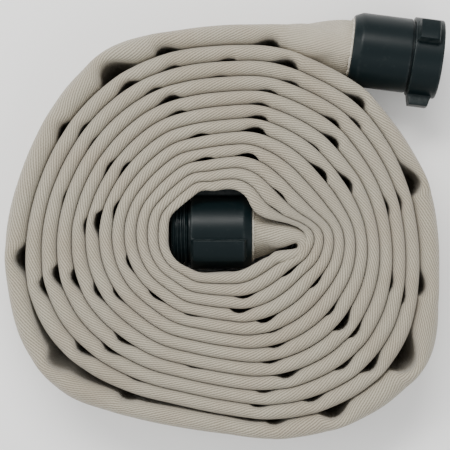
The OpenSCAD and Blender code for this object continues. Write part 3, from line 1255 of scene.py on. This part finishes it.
@dataclass
class FemaleCoupling(Coupling):
    """The outer coupling: a bowl whose neck carries a swivelling nut on a ring of balls."""

    bowl_length: float = 45.2
    neck: float = 26.9
    neck_end: float = 55.9
    race_at: float = 51.0
    ring: float = 30.7
    ring_start: float = 46.8
    ring_end: float = 69.6
    lug: float = 38.8
    crest: float = 23.5
    washer: float = 4.0

    def build(self) -> list[bpy.types.Object]:
        """Makes the bowl, the nut, the washer and the pieces inside, and dresses the balls and the plug.

        Returns:
            The pieces made.
        """
        made = self.insert_parts("female")
        bowl = TurnedPart("female_bowl_body", self.axis, [
            (self.bore, 0.0, 0.5), (self.tail, 0.0, 0.9), (self.bowl, self.tail_length, 0.9),
            (self.bowl, self.bowl_length, 1.0), (self.neck, self.bowl_length, 0.2),
            (self.neck, self.race_at - 2.0, 0.0), (self.neck - 1.9, self.race_at - 1.2, 0.6),
            (self.neck - 1.9, self.race_at + 1.2, 0.6), (self.neck, self.race_at + 2.0, 0.0),
            (self.neck, self.neck_end, 0.4), (self.water, self.neck_end, 0.5),
            (self.water, self.bore_length, 0.3), (self.bore, self.bore_length, 0.2)]).build()
        step = self.neck_end + 0.1
        nut = TurnedPart("swivel_nut", self.axis, [
            (self.neck + 0.12, self.ring_start, 0.3), (self.ring, self.ring_start, 0.9),
            (self.ring, self.ring_end, 1.6), (self.crest + 1.9, self.ring_end, 0.5),
            (self.crest, self.ring_end - 2.0, 0.2), (self.crest, step + self.washer + 0.15, 0.0),
            (self.crest + 2.2, step + self.washer + 0.1, 0.0), (self.crest + 2.2, step, 0.2),
            (self.neck + 0.12, step, 0.0), (self.neck + 0.12, self.race_at + 2.0, 0.0),
            (self.neck + 2.05, self.race_at + 1.2, 0.6), (self.neck + 2.05, self.race_at - 1.2, 0.6),
            (self.neck + 0.12, self.race_at - 2.0, 0.0)],
            lug_angles=(90.0, 210.0, 330.0), lug_range=(self.ring_start + 0.9, 66.3), lug_radius=self.lug,
            lug_base=self.ring, thread_range=(step + self.washer, self.ring_end - 0.5),
            thread_radius=self.crest, thread_depth=1.8, longest=1.0).build()
        low, high, top = self.water + 0.6, self.crest + 2.1, step + self.washer - 0.05
        washer = TurnedPart("face_washer", self.axis, [
            (low, step + 0.1, 0.7), (high, step + 0.1, 0.7), (high, top, 0.7), (low, top, 0.9)],
            longest=1.0, sides=96).build()
        for piece, node, body, finish, slot in (
                (bowl, "female_bowl", "hose", Finish.COUPLING, "coupling"),
                (nut, "swivel_ring", "swivel", Finish.COUPLING, "coupling"),
                (washer, "hose_washer", "swivel", Finish.GASKET, "gasket")):
            settle(piece, node, body, finish)
            made.append(piece)
        for node in ("swivel_balls", "ball_race_plug"):
            dress(frame["nodes"][node], Finish.STEEL)
        return made


@dataclass
class MaleCoupling(Coupling):
    """The inner coupling: one body with three long lugs and the external thread."""

    body_length: float = 47.5
    thread_length: float = 15.0
    lug: float = 34.0
    crest: float = 25.25
    thread_depth: float = 1.8

    def build(self) -> list[bpy.types.Object]:
        """Makes the body and the pieces inside it.

        Returns:
            The pieces.
        """
        made = self.insert_parts("male")
        end = self.body_length + self.thread_length
        relief = self.crest - 2.2
        body = TurnedPart("male_body_threaded", self.axis, [
            (self.bore, 0.0, 0.5), (self.tail, 0.0, 0.9), (self.bowl, self.tail_length, 0.9),
            (self.bowl, self.body_length, 1.2), (relief, self.body_length, 0.4),
            (relief, self.body_length + 1.8, 0.3), (self.crest, self.body_length + 3.2, 0.2),
            (self.crest, end - 2.2, 0.2), (self.crest - 2.2, end, 0.4), (self.water, end, 0.6),
            (self.water, self.bore_length, 0.3), (self.bore, self.bore_length, 0.2)],
            lug_angles=(-27.0, 93.0, 213.0), lug_range=(4.4, self.body_length - 0.2), lug_radius=self.lug,
            lug_base=self.bowl, thread_range=(self.body_length + 3.4, end - 1.6), thread_radius=self.crest,
            thread_depth=-self.thread_depth).build()
        settle(body, "male_body", "hose", Finish.COUPLING)
        return [*made, body]


# ---------------------------------------------------------------- the studio


@dataclass
class Studio:
    """Pale floor, soft light and the camera, which looks straight down."""

    aim: tuple[float, float] = (-2.37, -1.64)
    camera_height: float = 1270.0
    view_angle: float = 16.26
    floor_side: float = 4000.0
    floor_gap: float = 0.3

    def floor(self) -> bpy.types.Object:
        """Makes a plain square floor just under the hose.

        Returns:
            The floor.
        """
        half, low = self.floor_side / 2 * MM, -self.floor_gap * MM
        mesh = bpy.data.meshes.new("floor")
        corners = [(-half, -half, low), (half, -half, low), (half, half, low), (-half, half, low)]
        mesh.from_pydata(corners, [], [(0, 1, 2, 3)])
        floor = bpy.data.objects.new("floor", mesh)
        bpy.context.scene.collection.objects.link(floor)
        dress(floor, Finish.FLOOR)
        return floor

    def lamp(self, name: str, place: tuple[float, float, float], size: tuple[float, float], power: float,
             colour: tuple[float, float, float] = (1.0, 1.0, 1.0)) -> None:
        """Adds an area light, aimed at the middle of the hose.

        Args:
            name: its name.
            place: where it hangs, in metres.
            size: its width and height in metres.
            power: in watts.
            colour: its (r, g, b).
        """
        light = bpy.data.lights.new(name, "AREA")
        light.shape = "RECTANGLE"
        light.size, light.size_y = size
        light.energy = power
        light.color = colour
        lamp = bpy.data.objects.new(name, light)
        lamp.location = place
        lamp.rotation_euler = (Vector((0, 0, 0.03)) - Vector(place)).to_track_quat("-Z", "Y").to_euler()
        bpy.context.scene.collection.objects.link(lamp)

    def build(self) -> None:
        """Makes the floor, the lights, the sky and the camera."""
        self.floor()
        self.lamp("key", (-0.3, 1.1, 1.6), (1.4, 0.5), 34.0, (1.0, 0.985, 0.96))
        self.lamp("fill", (0.9, -0.9, 1.6), (1.2, 1.2), 9.0)
        self.lamp("left", (-1.4, 0.1, 1.0), (0.8, 1.2), 9.0)
        world = bpy.data.worlds.new("studio")
        world.use_nodes = True
        sky = world.node_tree.nodes["Background"]
        sky.inputs["Color"].default_value = (1.0, 1.0, 1.0, 1.0)
        sky.inputs["Strength"].default_value = 0.85
        bpy.context.scene.world = world
        camera = bpy.data.cameras.new("camera")
        camera.angle = math.radians(self.view_angle)
        camera.clip_end = 10.0
        view = bpy.data.objects.new("camera", camera)
        view.location = (self.aim[0] * MM, self.aim[1] * MM, self.camera_height * MM)
        bpy.context.scene.collection.objects.link(view)
        bpy.context.scene.camera = view


def main() -> None:
    """Builds the hose, its couplings and the studio, and reports each piece."""
    logging.basicConfig(level=logging.INFO, format="%(name)s: %(message)s")
    female, male = female_axis(), male_axis()
    pieces = [*RolledHose(female, male).build(), *FemaleCoupling(female).build(), *MaleCoupling(male).build()]
    for piece in pieces:
        LOG.info("%s: %d faces", piece.name, len(piece.data.polygons))
    Studio().build()


if __name__ == "__main__":
    main()
